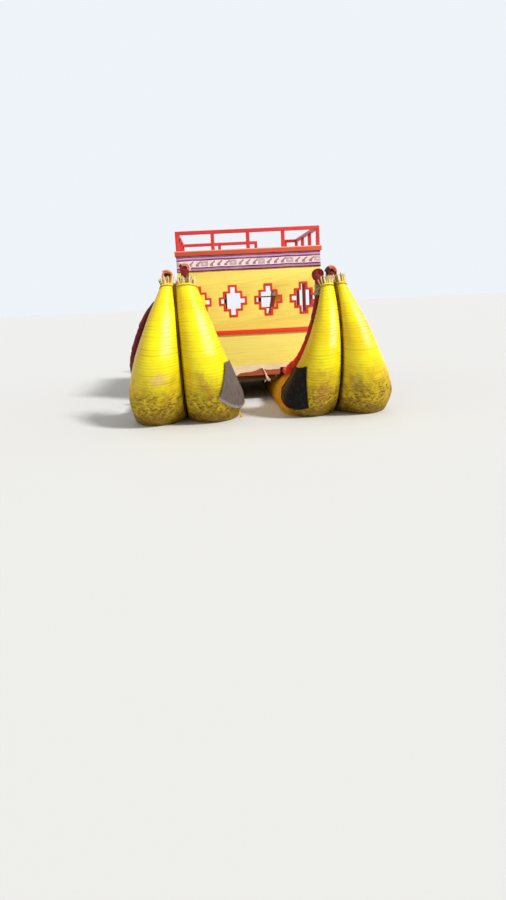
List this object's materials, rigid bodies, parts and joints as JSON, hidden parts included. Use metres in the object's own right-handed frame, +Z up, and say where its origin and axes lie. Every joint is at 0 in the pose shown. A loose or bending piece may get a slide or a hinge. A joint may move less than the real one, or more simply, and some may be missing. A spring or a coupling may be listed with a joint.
{
  "type": "two-hulled reed boat with a two-storey cabin",
  "caption": "Reed boat with two hulls of paired upswept reed bundles, joined by cross beams that carry an open cabin with a railed upper deck.",
  "frame": {"origin": "amidships on the centreline, at the water's surface", "axes": "+Y towards the bow, +X to starboard, +Z up"},
  "size_m": [4.6, 9.0066, 3.7171],
  "materials": {
    "bundle_wrap": "close lashing over reed, matt with a slight plastic sheen",
    "roll_cloth": "faded dark red cloth, wound",
    "seam_cloth": "red-brown cloth",
    "cut_reed": "dry cut reed ends",
    "tarp": "ragged grey tarpaulin",
    "rubber_sheet": "black rubber sheet",
    "pole_timber": "round poles, weathered",
    "bare_timber": "sawn boards, bare",
    "deck_boards": "sawn boards, worn",
    "yellow_paint": "warm yellow paint on board, satin",
    "woven_band": "woven stripes in lilac, purple and pale pink",
    "orange_paint": "orange-red paint, satin",
    "salmon_paint": "light salmon paint, satin",
    "parapet_paint": "painted boards",
    "bench_timber": "varnished boards",
    "dark_red_paint": "dark red paint, satin",
    "red_paint": "bright red paint, satin"
  },
  "bodies": {
    "root": {"bow_tufts": "cut_reed", "cabin_floor": "deck_boards", "corner_posts": "dark_red_paint", "cross_beams": "pole_timber", "deck_bearers": "bare_timber", "deck_end_board": "dark_red_paint", "door_posts": "dark_red_paint", "end_headers": "dark_red_paint", "fascia_boards": "orange_paint", "foredeck": "deck_boards", "front_panels": "yellow_paint", "front_parapets": "parapet_paint", "front_rail_posts": "red_paint", "front_rails": "red_paint", "ladder": "red_paint", "parapet_cap": "salmon_paint", "port_cabin_bench": "bench_timber", "port_inner_bundle": "bundle_wrap", "port_inner_edge_roll": "roll_cloth", "port_outer_bundle": "bundle_wrap", "port_outer_edge_roll": "roll_cloth", "port_seam_roll": "seam_cloth", "port_side_panels": "yellow_paint", "port_side_rails": "red_paint", "port_tarp_patch": "tarp", "port_upper_bench": "bench_timber", "rear_batten": "red_paint", "rear_parapet": "parapet_paint", "rear_rail_posts": "red_paint", "rear_sill": "bare_timber", "rear_upper_bench": "bench_timber", "rear_wall_lower": "yellow_paint", "rear_wall_upper": "yellow_paint", "side_headers": "dark_red_paint", "side_parapets": "parapet_paint", "side_posts": "dark_red_paint", "side_rail_posts": "red_paint", "starboard_cabin_bench": "bench_timber", "starboard_inner_bundle": "bundle_wrap", "starboard_inner_edge_roll": "roll_cloth", "starboard_outer_bundle": "bundle_wrap", "starboard_outer_edge_roll": "roll_cloth", "starboard_rubber_patch": "rubber_sheet", "starboard_seam_roll": "seam_cloth", "starboard_side_panels": "yellow_paint", "starboard_side_rails": "red_paint", "starboard_upper_bench": "bench_timber", "stern_tufts": "cut_reed", "textile_band": "woven_band", "top_rail": "red_paint", "upper_deck": "deck_boards", "upper_joists": "bare_timber", "window_frames": "red_paint"}
  },
  "joints": []
}
